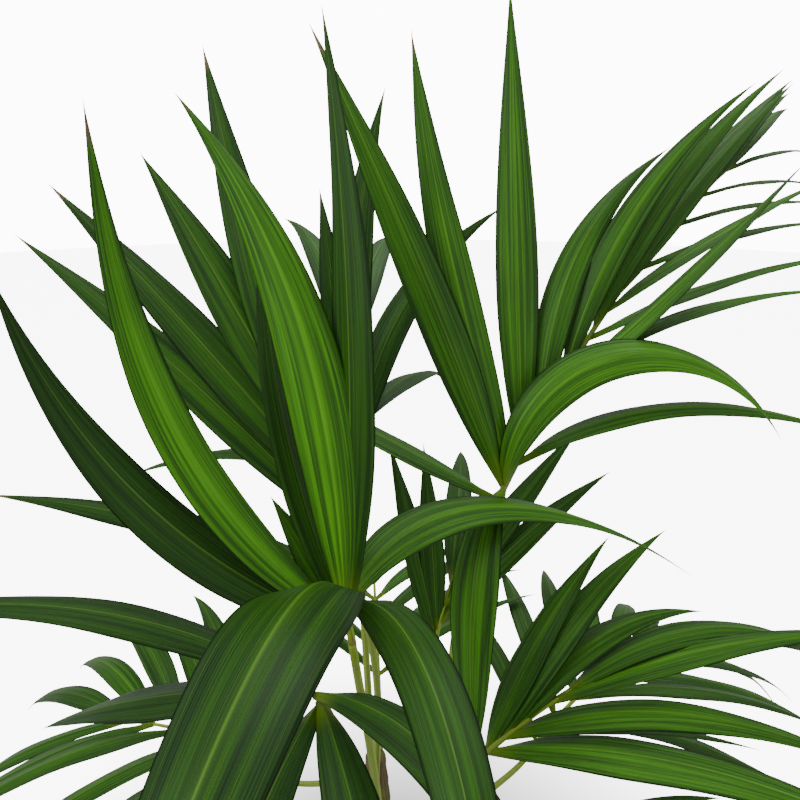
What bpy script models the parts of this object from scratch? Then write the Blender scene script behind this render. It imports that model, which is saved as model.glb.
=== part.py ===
"""Potted kentia palm: plain pot, soil, three sheathed stems, leaf stalks and feathered fronds.

Metres, +Z up. The origin is the middle of the pot's flat underside. Headings are degrees in the
floor's plane from +X towards +Y, and rises are degrees above the level.
"""

import math
import random
from collections import namedtuple

import bmesh
import bpy
from mathutils import Vector

# Driving dimensions
GAP = 0.0003
POT_HEIGHT = 0.215
POT_TOP_RADIUS = 0.122
POT_FOOT_RADIUS = 0.090
POT_WALL = 0.006
POT_FLOOR = 0.010
POT_RIM_HEIGHT = 0.024
POT_RIM_STEP = 0.004
POT_EDGE = 0.003
POT_SIDES = 32
SOIL_TOP = 0.192
STEM_SIDES = 12
STEM_TOP_RADIUS = 0.0150
# Share of a stem's height, and its radius there as a share of the top's
STEM_SWELL = ((0, 1.12), (0.12, 1.25), (0.3, 1.15), (0.6, 1.03), (1, 1))
STALK_SIDES = 6
STALK_STEPS = 10
STALK_FOOT_RADIUS = 0.0046
STALK_TIP_RADIUS = 0.0034
STALK_SEAT_RADIUS = 0.0095
STALK_SEAT_SPACING = 64
# How far a stalk runs straight out of its stem and into its rib, as a share of its reach
STALK_STRAIGHT_UP = 0.36
STALK_STRAIGHT_IN = 0.30
RIB_SIDES = 6
RIB_STEPS = 5
RIB_TIP_RADIUS = 0.0018

# A leaflet's blade: its fine centreline, the stations that carry an edge, and its outline
BLADE_STEPS = 40
BLADE_STATIONS = (0, 4, 10, 17, 24, 31, 37)
BLADE_THICKNESS = 0.0048
BLADE_FOOT = 0.26
BLADE_WIDEST = 0.36
BLADE_POINT = 1.15

# One stem of the clump: where it stands on the soil, its height, and how far its top leans
Stem = namedtuple("Stem", "x y height lean_x lean_y")
STEMS = (
    Stem(x=-0.026, y=-0.036, height=0.135, lean_x=0.004, lean_y=-0.014),
    Stem(x=0.042, y=0.004, height=0.120, lean_x=0.012, lean_y=0.002),
    Stem(x=-0.022, y=0.044, height=0.145, lean_x=-0.006, lean_y=0.010),
)

# A frond: its stem, where its rib starts, and the rib's heading, rise, length and droop
Frond = namedtuple("Frond", "name stem foot heading rise rib turn droop")
# A leaflet: its place along the rib, its first heading and rise, its length and width, how far its
# heading and rise change towards the tip, the blade's roll at the root and its twist to the tip, and
# how late its droop comes: 1 is even, and less is sooner
Leaflet = namedtuple(
    "Leaflet", "at heading rise length width turn droop roll twist bend", defaults=(1,)
)

FRONT = Frond("front", 0, (-0.037, -0.140, 0.728), heading=-110, rise=78, rib=0.045, turn=0, droop=10)
UPRIGHT = Frond("upright", 1, (0.086, -0.012, 0.770), heading=46, rise=49, rib=0.50, turn=-6, droop=25)
RIGHT = Frond("right", 1, (0.068, -0.090, 0.545), heading=18, rise=40, rib=0.16, turn=0, droop=24)
LOW_LEFT = Frond("low_left", 0, (-0.058, -0.130, 0.645), heading=-125, rise=72, rib=0.05, turn=0, droop=20)
LEFT_BACK = Frond("left_back", 2, (-0.036, -0.038, 0.690), heading=150, rise=75, rib=0.17, turn=0, droop=10)
BACK = Frond("back", 2, (-0.045, 0.070, 0.745), heading=95, rise=74, rib=0.16, turn=0, droop=20)
INNER = Frond("inner", 1, (0.038, 0.088, 0.515), heading=60, rise=66, rib=0.10, turn=0, droop=20)

FRONT_LEAFLETS = (
    Leaflet(0.95, -96, 58, 0.41, 0.067, -10, 122, 0, 0),
    Leaflet(0.95, -60, 44, 0.38, 0.036, -34, 104, 0, 0),
    Leaflet(0.85, 97, 73, 0.42, 0.050, 62, 25, 0, 0),
    Leaflet(0.55, 186, 40, 0.42, 0.036, -70, -46, 45, 0),
    Leaflet(0.85, 65, 80, 0.37, 0.046, -100, 106, -25, 45, 0.25),
    Leaflet(0.65, 80, 70, 0.46, 0.044, 34, 0, 30, 0),
    Leaflet(0.40, -178, 24, 0.36, 0.042, 0, -56, 35, 0),
    Leaflet(0.45, 138, 55, 0.34, 0.030, -44, -10, -5, 0),
    Leaflet(0.30, 146, 56, 0.12, 0.026, 0, 10, 20, 0),
    Leaflet(0.25, 172, 34, 0.10, 0.024, 0, 10, 20, 0),
)
UPRIGHT_LEAFLETS = (
    Leaflet(0.04, 149, 66, 0.45, 0.042, 6, 5, 50, 0),
    Leaflet(0.08, 140, 66, 0.43, 0.043, -32, -2, 32, 0),
    Leaflet(0.12, 90, 64, 0.46, 0.043, 6, -8, 0, 0),
    Leaflet(0.06, 40, 86, 0.36, 0.044, -70, 146, -45, 50, 0.9),
    Leaflet(0.03, 162, 22, 0.31, 0.034, -8, 2, 5, 0),
    Leaflet(0.10, 24, 26, 0.36, 0.036, -50, 46, 0, 0),
    Leaflet(0.05, -125, 10, 0.28, 0.044, 60, 100, 0, 0, 0.4),
    Leaflet(0.19, 78, 67, 0.34, 0.036, -58, 38, 0, 0),
    Leaflet(0.30, 54, 64, 0.37, 0.031, -42, 30, -20, 0),
    Leaflet(0.42, 43, 56, 0.36, 0.028, -22, 22, -30, 0),
    Leaflet(0.52, 36, 46, 0.33, 0.027, -8, 12, -30, 0),
    Leaflet(0.24, 14, 38, 0.32, 0.032, -6, -10, 0, 0),
    Leaflet(0.30, 14, 34, 0.30, 0.030, -18, 36, 0, 0),
    Leaflet(0.40, 12, 26, 0.30, 0.030, -10, 20, 0, 0),
    Leaflet(0.48, 22, 32, 0.30, 0.028, -10, 12, 0, 0),
    Leaflet(0.62, 38, 46, 0.31, 0.030, -6, 16, -25, 0),
    Leaflet(0.73, 40, 44, 0.29, 0.028, -4, 20, -25, 0),
    Leaflet(0.86, 42, 42, 0.26, 0.026, 0, 26, -25, 0),
    Leaflet(1.00, 46, 34, 0.24, 0.024, 4, 30, -10, 0),
    Leaflet(0.60, 16, 22, 0.28, 0.028, -8, 26, 0, 0),
    Leaflet(0.74, 18, 18, 0.26, 0.026, -6, 30, 0, 0),
    Leaflet(0.88, 22, 16, 0.24, 0.024, -4, 34, 0, 0),
    Leaflet(1.00, 30, 20, 0.22, 0.022, -2, 34, 0, 0),
)
RIGHT_LEAFLETS = (
    Leaflet(0.10, 48, 54, 0.24, 0.032, -18, 16, 0, 0),
    Leaflet(0.20, 42, 52, 0.27, 0.036, -18, 30, 0, 0),
    Leaflet(0.30, 37, 46, 0.25, 0.034, -26, 60, 0, 0),
    Leaflet(0.70, 20, 34, 0.31, 0.034, -20, 72, 0, 0),
    Leaflet(0.60, 8, 24, 0.32, 0.034, -10, 24, 0, 0),
    Leaflet(0.25, 4, 22, 0.32, 0.038, -30, 36, 0, 0),
    Leaflet(0.12, -12, 18, 0.36, 0.046, -20, 26, 0, 0),
    Leaflet(1.00, 14, 20, 0.28, 0.032, -4, 60, 0, 0),
)
LOW_LEFT_LEAFLETS = (
    Leaflet(0.50, -112, 0, 0.32, 0.038, 14, 60, 0, 0),
    Leaflet(0.60, -66, -5, 0.34, 0.046, -18, 60, 0, 0),
    Leaflet(0.80, -30, 24, 0.34, 0.042, -44, 100, 0, 0),
    Leaflet(0.95, 170, -8, 0.30, 0.048, -10, 28, 0, 0),
    Leaflet(0.80, 168, 30, 0.36, 0.038, 30, 32, 0, 0),
)
LEFT_BACK_LEAFLETS = (
    Leaflet(0.95, 147, 57, 0.30, 0.046, 4, 6, 45, 0),
    Leaflet(1.00, 134, 65, 0.36, 0.042, -14, 0, 30, 0),
    Leaflet(0.65, 156, 47, 0.38, 0.044, 6, 6, 50, 0),
    Leaflet(0.45, 160, 43, 0.40, 0.042, 6, 8, 50, 0),
    Leaflet(0.10, -168, 34, 0.32, 0.038, 2, 20, 20, 0),
)
BACK_LEAFLETS = (
    Leaflet(0.30, 112, 68, 0.28, 0.038, 0, 0, 10, 0),
    Leaflet(0.60, 100, 72, 0.34, 0.038, -50, 6, 0, 0),
    Leaflet(0.25, 70, 70, 0.33, 0.036, -60, 40, -20, 0),
    Leaflet(0.80, 106, 48, 0.36, 0.036, 10, 50, 0, 0),
    Leaflet(0.95, 84, 42, 0.36, 0.036, -6, 56, 0, 0),
    Leaflet(0.35, 150, 30, 0.36, 0.038, 6, 40, 0, 0),
    Leaflet(0.15, 160, 10, 0.34, 0.038, 6, 44, 0, 0),
    Leaflet(0.45, 60, 20, 0.32, 0.036, 10, 60, 0, 0),
)
INNER_LEAFLETS = (
    Leaflet(0.20, 120, 67, 0.25, 0.034, 8, 2, 0, 0),
    Leaflet(0.30, 100, 71, 0.23, 0.032, 6, 0, 0, 0),
    Leaflet(0.60, 26, 52, 0.28, 0.036, -2, 8, -30, 0),
    Leaflet(0.40, 22, 46, 0.28, 0.036, -8, 16, -30, 0),
    Leaflet(0.90, 80, 40, 0.30, 0.036, 6, 60, 0, 0),
)

# The older fronds that arch out low round the pot carry their leaflets by rule
OLD_FRONDS = (
    Frond("old_front_right", 0, (0.070, -0.145, 0.385), heading=-48, rise=44, rib=0.22, turn=0, droop=45),
    Frond("old_front_left", 0, (-0.125, -0.130, 0.380), heading=-134, rise=42, rib=0.20, turn=0, droop=45),
    Frond("old_left", 2, (-0.150, 0.075, 0.335), heading=172, rise=40, rib=0.22, turn=0, droop=45),
    Frond("old_back", 2, (-0.030, 0.185, 0.370), heading=94, rise=40, rib=0.22, turn=0, droop=45),
    Frond("old_right", 1, (0.165, 0.095, 0.350), heading=34, rise=40, rib=0.22, turn=0, droop=45),
)
OLD_PAIRS = 5
OLD_FIRST_AT = 0.10
OLD_LENGTH = 0.32
OLD_WIDTH = 0.038
# An end leaflet's size as a share of a middle one's, and how near the first pair is to an end
OLD_END_SIZE = 0.78
OLD_SIZE_START = 0.15
OLD_LIFT = 12
OLD_DROOP = 62
OLD_ANGLE_FIRST = 78
OLD_ANGLE_LAST = 26
OLD_TURN_SHARE = 0.25
OLD_ROLL = 12
OLD_JITTER = 6
OLD_SEED = 11

PHOTO_FRONDS = (
    (FRONT, FRONT_LEAFLETS),
    (UPRIGHT, UPRIGHT_LEAFLETS),
    (RIGHT, RIGHT_LEAFLETS),
    (LOW_LEFT, LOW_LEFT_LEAFLETS),
    (LEFT_BACK, LEFT_BACK_LEAFLETS),
    (BACK, BACK_LEAFLETS),
    (INNER, INNER_LEAFLETS),
)


def direction(heading, rise):
    """Unit vector at a heading and a rise in degrees."""
    turn, lift = math.radians(heading), math.radians(rise)
    return Vector((math.cos(lift) * math.cos(turn), math.cos(lift) * math.sin(turn), math.sin(lift)))


def sideways(heading):
    """Level unit vector to the right of a heading."""
    return direction(heading - 90, 0)


def bent_path(start, heading, rise, length, turn, droop, steps, bend=1):
    """Points and directions along a line whose heading changes evenly, and its rise sooner or later."""
    points, ways = [Vector(start)], [direction(heading, rise)]
    for step in range(1, steps + 1):
        middle = (step - 0.5) / steps
        way = direction(heading + turn * middle, rise - droop * middle**bend)
        points.append(points[-1] + way * (length / steps))
        share = step / steps
        ways.append(direction(heading + turn * share, rise - droop * share**bend))
    return points, ways


def rib_path(frond, steps=RIB_STEPS):
    return bent_path(frond.foot, frond.heading, frond.rise, frond.rib, frond.turn, frond.droop, steps)


def on_rib(frond, at):
    """The point of a frond's rib at a share of its length."""
    points, _ = rib_path(frond, BLADE_STEPS)
    return points[round(at * BLADE_STEPS)]


def outline(share):
    """A blade's width at a share of its length, as a share of its greatest width."""
    if share < BLADE_WIDEST:
        return BLADE_FOOT + (1 - BLADE_FOOT) * math.sin(math.pi / 2 * share / BLADE_WIDEST)
    past = (share - BLADE_WIDEST) / (1 - BLADE_WIDEST)
    return math.cos(math.pi / 2 * past) ** BLADE_POINT


def blade_path(frond, leaf):
    """Points, directions and unit width vectors along a leaflet's blade."""
    root = on_rib(frond, leaf.at)
    points, ways = bent_path(
        root, leaf.heading, leaf.rise, leaf.length, leaf.turn, leaf.droop, BLADE_STEPS, leaf.bend
    )
    right = sideways(leaf.heading)
    up = right.cross(ways[0])
    roll = math.radians(leaf.roll)
    across = right * math.cos(roll) + up * math.sin(roll)
    rows = []
    for step, way in enumerate(ways):
        across = (across - way * across.dot(way)).normalized()
        twist = math.radians(leaf.twist) * step / BLADE_STEPS
        up = across.cross(way)
        rows.append((across * math.cos(twist) + up * math.sin(twist)).normalized())
    return points, ways, rows


def old_leaflets(frond, number):
    """Leaflets of an older frond: pairs that close towards the rib's tip, and a last pair on it."""
    draw = random.Random(OLD_SEED + number)
    leaflets = []
    for pair in range(OLD_PAIRS + 1):
        along = pair / OLD_PAIRS
        angle = OLD_ANGLE_FIRST + (OLD_ANGLE_LAST - OLD_ANGLE_FIRST) * along
        at = OLD_FIRST_AT + (1 - OLD_FIRST_AT) * along
        rise = frond.rise - frond.droop * at + OLD_LIFT
        middling = math.sin(math.pi * (OLD_SIZE_START + (1 - 2 * OLD_SIZE_START) * along))
        size = OLD_END_SIZE + (1 - OLD_END_SIZE) * middling
        for side in (1, -1):
            leaflets.append(
                Leaflet(
                    at=at,
                    heading=frond.heading + side * (angle + draw.uniform(-OLD_JITTER, OLD_JITTER)),
                    rise=rise + draw.uniform(-OLD_JITTER, OLD_JITTER),
                    length=OLD_LENGTH * size,
                    width=OLD_WIDTH * size,
                    turn=-side * OLD_TURN_SHARE * angle,
                    droop=OLD_DROOP + draw.uniform(-OLD_JITTER, OLD_JITTER),
                    roll=-side * OLD_ROLL,
                    twist=0,
                )
            )
    return leaflets


def new_object(name, mesh_builder, material):
    """An object named for its sub-part, from a function that fills a bmesh."""
    mesh = bpy.data.meshes.new(name)
    bm = bmesh.new()
    mesh_builder(bm)
    bmesh.ops.recalc_face_normals(bm, faces=bm.faces)
    bm.to_mesh(mesh)
    bm.free()
    mesh.materials.append(material)
    thing = bpy.data.objects.new(name, mesh)
    bpy.context.scene.collection.objects.link(thing)
    return thing


def make_material(name, colour, roughness):
    material = bpy.data.materials.new(name)
    material.use_nodes = True
    shader = material.node_tree.nodes["Principled BSDF"]
    shader.inputs["Base Color"].default_value = (*colour, 1)
    shader.inputs["Roughness"].default_value = roughness
    shader.inputs["Metallic"].default_value = 0
    return material


def turn_profile(bm, profile, sides):
    """Turn a closed half outline that starts and ends on the Z axis."""
    verts = [bm.verts.new((radius, 0, height)) for radius, height in profile]
    edges = [bm.edges.new(pair) for pair in zip(verts, verts[1:])]
    bmesh.ops.spin(
        bm,
        geom=verts + edges,
        cent=(0, 0, 0),
        axis=(0, 0, 1),
        angle=2 * math.pi,
        steps=sides,
        use_merge=True,
    )
    bmesh.ops.remove_doubles(bm, verts=bm.verts, dist=0.00005)


def join_rings(bm, rings):
    """Close a skin over rings of equal count, with a flat cap on the first."""
    bm.faces.new(rings[0])
    for low, high in zip(rings, rings[1:]):
        for i in range(len(low)):
            j = (i + 1) % len(low)
            bm.faces.new((low[i], low[j], high[j], high[i]))


def tube(bm, points, ways, radii, sides):
    """A tapering limb with a flat cut at each end."""
    rings = []
    across = ways[0].orthogonal().normalized()
    for point, way, radius in zip(points, ways, radii):
        across = (across - way * across.dot(way)).normalized()
        other = way.cross(across)
        ring = []
        for i in range(sides):
            angle = 2 * math.pi * i / sides
            ring.append(bm.verts.new(point + (across * math.cos(angle) + other * math.sin(angle)) * radius))
        rings.append(ring)
    join_rings(bm, rings)
    bm.faces.new(rings[-1])


def pot_radius(height):
    """Outer radius of the pot's plain wall at a height."""
    return POT_FOOT_RADIUS + (POT_TOP_RADIUS - POT_RIM_STEP - POT_FOOT_RADIUS) * height / POT_HEIGHT


def pot(material):
    rim_foot = POT_HEIGHT - POT_RIM_HEIGHT
    profile = (
        (0, 0),
        (POT_FOOT_RADIUS - POT_EDGE, 0),
        (POT_FOOT_RADIUS, POT_EDGE),
        (pot_radius(rim_foot), rim_foot),
        (POT_TOP_RADIUS, rim_foot + POT_EDGE),
        (POT_TOP_RADIUS, POT_HEIGHT - POT_EDGE),
        (POT_TOP_RADIUS - POT_EDGE, POT_HEIGHT),
        (pot_radius(POT_HEIGHT) - POT_WALL + POT_EDGE, POT_HEIGHT),
        (pot_radius(POT_HEIGHT) - POT_WALL, POT_HEIGHT - POT_EDGE),
        (pot_radius(POT_FLOOR) - POT_WALL, POT_FLOOR),
        (0, POT_FLOOR),
    )
    return new_object("pot", lambda bm: turn_profile(bm, profile, POT_SIDES), material)


def soil(material):
    foot = POT_FLOOR + GAP
    profile = (
        (0, foot),
        (pot_radius(foot) - POT_WALL - GAP, foot),
        (pot_radius(SOIL_TOP) - POT_WALL - GAP, SOIL_TOP),
        (0, SOIL_TOP),
    )
    return new_object("soil", lambda bm: turn_profile(bm, profile, POT_SIDES), material)


def stem_top(stem):
    return Vector((stem.x + stem.lean_x, stem.y + stem.lean_y, SOIL_TOP + GAP + stem.height))


def stem(number, spec, material):
    """A short sheathed stem, swollen at its foot, with level cuts at both ends."""
    foot = Vector((spec.x, spec.y, SOIL_TOP + GAP))
    points = [foot.lerp(stem_top(spec), share) for share, _ in STEM_SWELL]
    level = [Vector((0, 0, 1))] * len(points)
    radii = [STEM_TOP_RADIUS * swell for _, swell in STEM_SWELL]
    return new_object(
        f"stem_{number}", lambda bm: tube(bm, points, level, radii, STEM_SIDES), material
    )


def seats(fronds):
    """Where each frond's stalk stands on its stem: side by side round the top, in order of heading."""
    places = {}
    spacing = math.radians(STALK_SEAT_SPACING)
    for number, spec in enumerate(STEMS):
        top = stem_top(spec)
        mine = [frond for frond in fronds if frond.stem == number]
        bearings = sorted((math.atan2(f.foot[1] - top.y, f.foot[0] - top.x), f.name) for f in mine)
        spaces = [(bearings[i][0] - bearings[i - 1][0]) % (2 * math.pi) for i in range(len(bearings))]
        widest = spaces.index(max(spaces))
        bearings = bearings[widest:] + [(angle + 2 * math.pi, name) for angle, name in bearings[:widest]]
        first = sum(angle - i * spacing for i, (angle, _) in enumerate(bearings)) / len(bearings)
        for i, (_, name) in enumerate(bearings):
            angle = first + i * spacing
            offset = Vector((math.cos(angle), math.sin(angle), 0)) * STALK_SEAT_RADIUS
            places[name] = top + offset + Vector((0, 0, GAP))
    return places


def stalk(frond, seat, material):
    """A leaf stalk: rises out of its stem and leans out to the foot of the frond's rib."""
    end_way = direction(frond.heading, frond.rise)
    end = Vector(frond.foot) - end_way * GAP
    reach = (end - seat).length
    first = seat + Vector((0, 0, reach * STALK_STRAIGHT_UP))
    second = end - end_way * reach * STALK_STRAIGHT_IN
    points, ways, radii = [], [], []
    for step in range(STALK_STEPS + 1):
        t = step / STALK_STEPS
        s = 1 - t
        points.append(seat * s**3 + first * 3 * s * s * t + second * 3 * s * t * t + end * t**3)
        ways.append(((first - seat) * s * s + (second - first) * 2 * s * t + (end - second) * t * t).normalized())
        radii.append(STALK_FOOT_RADIUS + (STALK_TIP_RADIUS - STALK_FOOT_RADIUS) * t)
    return new_object(
        f"stalk_{frond.name}", lambda bm: tube(bm, points, ways, radii, STALK_SIDES), material
    )


def blade(bm, frond, leaf):
    """A leaflet: flat below, raised along its midrib, wide near a third and drawn out to a point."""
    points, ways, across = blade_path(frond, leaf)
    rings = []
    for station in BLADE_STATIONS:
        half = across[station] * (leaf.width / 2 * outline(station / BLADE_STEPS))
        up = across[station].cross(ways[station])
        middle = points[station]
        rings.append([bm.verts.new(p) for p in (middle - half, middle + half, middle + up * BLADE_THICKNESS)])
    join_rings(bm, rings)
    tip = bm.verts.new(points[-1])
    last = rings[-1]
    for i in range(3):
        bm.faces.new((last[i], last[(i + 1) % 3], tip))


def frond_object(frond, leaflets, material):
    """A frond's rib with its leaflets joined to it by one union."""
    points, ways = rib_path(frond)
    radii = [
        STALK_TIP_RADIUS + (RIB_TIP_RADIUS - STALK_TIP_RADIUS) * i / RIB_STEPS
        for i in range(RIB_STEPS + 1)
    ]
    rib = new_object(
        f"frond_{frond.name}", lambda bm: tube(bm, points, ways, radii, RIB_SIDES), material
    )
    group = bpy.data.collections.new(f"leaflets_{frond.name}")
    for number, leaf in enumerate(leaflets):
        single = new_object(
            f"leaflet_{frond.name}_{number}", lambda bm, leaf=leaf: blade(bm, frond, leaf), material
        )
        bpy.context.scene.collection.objects.unlink(single)
        group.objects.link(single)
    union = rib.modifiers.new("join", "BOOLEAN")
    union.operation = "UNION"
    union.operand_type = "COLLECTION"
    union.collection = group
    union.solver = "EXACT"
    evaluated = rib.evaluated_get(bpy.context.evaluated_depsgraph_get())
    joined = bpy.data.meshes.new_from_object(evaluated)
    rib.modifiers.clear()
    rib.data = joined
    for single in list(group.objects):
        bpy.data.objects.remove(single)
    bpy.data.collections.remove(group)
    return rib


def all_fronds():
    """Every frond with its leaflets."""
    fronds = list(PHOTO_FRONDS)
    for number, frond in enumerate(OLD_FRONDS):
        fronds.append((frond, old_leaflets(frond, number)))
    return fronds


def main():
    for thing in list(bpy.data.objects):
        bpy.data.objects.remove(thing)
    pot(make_material("pot_clay", (0.42, 0.39, 0.35), 0.6))
    soil(make_material("soil", (0.05, 0.035, 0.025), 0.9))
    sheath = make_material("stem_sheath", (0.22, 0.20, 0.07), 0.6)
    for number, spec in enumerate(STEMS, 1):
        stem(number, spec, sheath)
    stalk_green = make_material("stalk_green", (0.30, 0.42, 0.06), 0.4)
    leaf_green = make_material("leaf_green", (0.06, 0.16, 0.02), 0.4)
    fronds = all_fronds()
    places = seats([frond for frond, _ in fronds])
    for frond, leaflets in fronds:
        stalk(frond, places[frond.name], stalk_green)
        frond_object(frond, leaflets, leaf_green)


main()
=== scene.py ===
"""Looks of the potted kentia palm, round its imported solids.

The fronds are grown again by the rule of the solids, with fine leaflets in place of plain blades.
Metres, +Z up. Headings are degrees in the floor's plane from +X towards +Y, and rises are degrees
above the level.
"""

import math
import random
from collections import namedtuple

import bmesh
import bpy
from mathutils import Matrix, Vector, noise


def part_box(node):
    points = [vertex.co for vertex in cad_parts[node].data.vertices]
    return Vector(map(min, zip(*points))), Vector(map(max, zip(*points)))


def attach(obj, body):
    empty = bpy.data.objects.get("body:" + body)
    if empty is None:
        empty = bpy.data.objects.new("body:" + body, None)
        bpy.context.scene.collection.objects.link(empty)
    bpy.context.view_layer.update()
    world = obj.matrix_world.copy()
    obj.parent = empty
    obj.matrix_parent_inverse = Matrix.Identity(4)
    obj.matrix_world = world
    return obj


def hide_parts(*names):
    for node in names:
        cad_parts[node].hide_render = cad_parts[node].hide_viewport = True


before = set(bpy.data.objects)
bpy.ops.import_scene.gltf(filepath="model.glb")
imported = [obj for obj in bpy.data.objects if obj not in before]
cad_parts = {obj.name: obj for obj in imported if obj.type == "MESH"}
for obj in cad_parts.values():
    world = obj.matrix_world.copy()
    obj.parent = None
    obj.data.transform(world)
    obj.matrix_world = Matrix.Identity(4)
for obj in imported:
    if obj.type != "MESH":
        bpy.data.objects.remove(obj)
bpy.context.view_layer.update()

bl_info = {
    "name": "Potted Kentia Palm",
    "version": (1, 0, 0),
    "blender": (4, 5, 0),
    "location": "3D View > Sidebar > Kentia",
    "description": "Grows the leaves, stalks, sheaths, pot and soil of a potted kentia palm",
    "category": "Object",
}

# The gap between touching solids, and the plant's driving sizes, as in the source
GAP = 0.0003
_, POT_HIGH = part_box("pot")
SOIL_LOW, SOIL_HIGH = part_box("soil")
POT_HEIGHT = POT_HIGH.z
POT_TOP_RADIUS = POT_HIGH.x
POT_FOOT_RADIUS = 0.090
POT_WALL = 0.006
POT_FLOOR = 0.010
POT_RIM_HEIGHT = 0.024
POT_RIM_STEP = 0.004
POT_EDGE = 0.003
SOIL_TOP = SOIL_HIGH.z

STEM_TOP_RADIUS = 0.0150
# Share of a stem's height, and its radius there as a share of the top's
STEM_SWELL = ((0, 1.12), (0.12, 1.25), (0.3, 1.15), (0.6, 1.03), (1, 1))
STALK_FOOT_RADIUS = 0.0046
STALK_TIP_RADIUS = 0.0034
STALK_SEAT_RADIUS = 0.0095
STALK_SEAT_SPACING = 64
# How far a stalk runs straight out of its stem and into its rib, as a share of its reach
STALK_STRAIGHT_UP = 0.36
STALK_STRAIGHT_IN = 0.30
RIB_TIP_RADIUS = 0.0018
RIB_FINE_STEPS = 40

# A leaflet's outline, and the fineness of its mesh
BLADE_FOOT = 0.26
BLADE_WIDEST = 0.36
BLADE_POINT = 1.15
BLADE_ROWS = 56
BLADE_COLUMNS = 14

# One stem of the clump: where it stands on the soil, its height, and how far its top leans
Stem = namedtuple("Stem", "x y height lean_x lean_y")
STEMS = (
    Stem(x=-0.026, y=-0.036, height=0.135, lean_x=0.004, lean_y=-0.014),
    Stem(x=0.042, y=0.004, height=0.120, lean_x=0.012, lean_y=0.002),
    Stem(x=-0.022, y=0.044, height=0.145, lean_x=-0.006, lean_y=0.010),
)
# A frond: its stem, where its rib starts, and the rib's heading, rise, length and droop
Frond = namedtuple("Frond", "name stem foot heading rise rib turn droop")
# A leaflet: its place along the rib, its first heading and rise, its length and width, how far
# its heading and rise change towards the tip, the blade's roll at the root and its twist to the
# tip, and how late its droop comes: 1 is even, and less is sooner
Leaflet = namedtuple(
    "Leaflet", "at heading rise length width turn droop roll twist bend", defaults=(1,)
)

FRONT = Frond(
    "front", 0, (-0.037, -0.140, 0.728), heading=-110, rise=78, rib=0.045, turn=0, droop=10
)
UPRIGHT = Frond(
    "upright", 1, (0.086, -0.012, 0.770), heading=46, rise=49, rib=0.50, turn=-6, droop=25
)
RIGHT = Frond(
    "right", 1, (0.068, -0.090, 0.545), heading=18, rise=40, rib=0.16, turn=0, droop=24
)
LOW_LEFT = Frond(
    "low_left", 0, (-0.058, -0.130, 0.645), heading=-125, rise=72, rib=0.05, turn=0, droop=20
)
LEFT_BACK = Frond(
    "left_back", 2, (-0.036, -0.038, 0.690), heading=150, rise=75, rib=0.17, turn=0, droop=10
)
BACK = Frond(
    "back", 2, (-0.045, 0.070, 0.745), heading=95, rise=74, rib=0.16, turn=0, droop=20
)
INNER = Frond(
    "inner", 1, (0.038, 0.088, 0.515), heading=60, rise=66, rib=0.10, turn=0, droop=20
)

FRONT_LEAFLETS = (
    Leaflet(0.95, -96, 58, 0.41, 0.067, -10, 122, 0, 0),
    Leaflet(0.95, -60, 44, 0.38, 0.036, -34, 104, 0, 0),
    Leaflet(0.85, 97, 73, 0.42, 0.050, 62, 25, 0, 0),
    Leaflet(0.55, 186, 40, 0.42, 0.036, -70, -46, 45, 0),
    Leaflet(0.85, 65, 80, 0.37, 0.046, -100, 106, -25, 45, 0.25),
    Leaflet(0.65, 80, 70, 0.46, 0.044, 34, 0, 30, 0),
    Leaflet(0.40, -178, 24, 0.36, 0.042, 0, -56, 35, 0),
    Leaflet(0.45, 138, 55, 0.34, 0.030, -44, -10, -5, 0),
    Leaflet(0.30, 146, 56, 0.12, 0.026, 0, 10, 20, 0),
    Leaflet(0.25, 172, 34, 0.10, 0.024, 0, 10, 20, 0),
)
UPRIGHT_LEAFLETS = (
    Leaflet(0.04, 149, 66, 0.45, 0.042, 6, 5, 50, 0),
    Leaflet(0.08, 140, 66, 0.43, 0.043, -32, -2, 32, 0),
    Leaflet(0.12, 90, 64, 0.46, 0.043, 6, -8, 0, 0),
    Leaflet(0.06, 40, 86, 0.36, 0.044, -70, 146, -45, 50, 0.9),
    Leaflet(0.03, 162, 22, 0.31, 0.034, -8, 2, 5, 0),
    Leaflet(0.10, 24, 26, 0.36, 0.036, -50, 46, 0, 0),
    Leaflet(0.05, -125, 10, 0.28, 0.044, 60, 100, 0, 0, 0.4),
    Leaflet(0.19, 78, 67, 0.34, 0.036, -58, 38, 0, 0),
    Leaflet(0.30, 54, 64, 0.37, 0.031, -42, 30, -20, 0),
    Leaflet(0.42, 43, 56, 0.36, 0.028, -22, 22, -30, 0),
    Leaflet(0.52, 36, 46, 0.33, 0.027, -8, 12, -30, 0),
    Leaflet(0.24, 14, 38, 0.32, 0.032, -6, -10, 0, 0),
    Leaflet(0.30, 14, 34, 0.30, 0.030, -18, 36, 0, 0),
    Leaflet(0.40, 12, 26, 0.30, 0.030, -10, 20, 0, 0),
    Leaflet(0.48, 22, 32, 0.30, 0.028, -10, 12, 0, 0),
    Leaflet(0.62, 38, 46, 0.31, 0.030, -6, 16, -25, 0),
    Leaflet(0.73, 40, 44, 0.29, 0.028, -4, 20, -25, 0),
    Leaflet(0.86, 42, 42, 0.26, 0.026, 0, 26, -25, 0),
    Leaflet(1.00, 46, 34, 0.24, 0.024, 4, 30, -10, 0),
    Leaflet(0.60, 16, 22, 0.28, 0.028, -8, 26, 0, 0),
    Leaflet(0.74, 18, 18, 0.26, 0.026, -6, 30, 0, 0),
    Leaflet(0.88, 22, 16, 0.24, 0.024, -4, 34, 0, 0),
    Leaflet(1.00, 30, 20, 0.22, 0.022, -2, 34, 0, 0),
)
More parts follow.
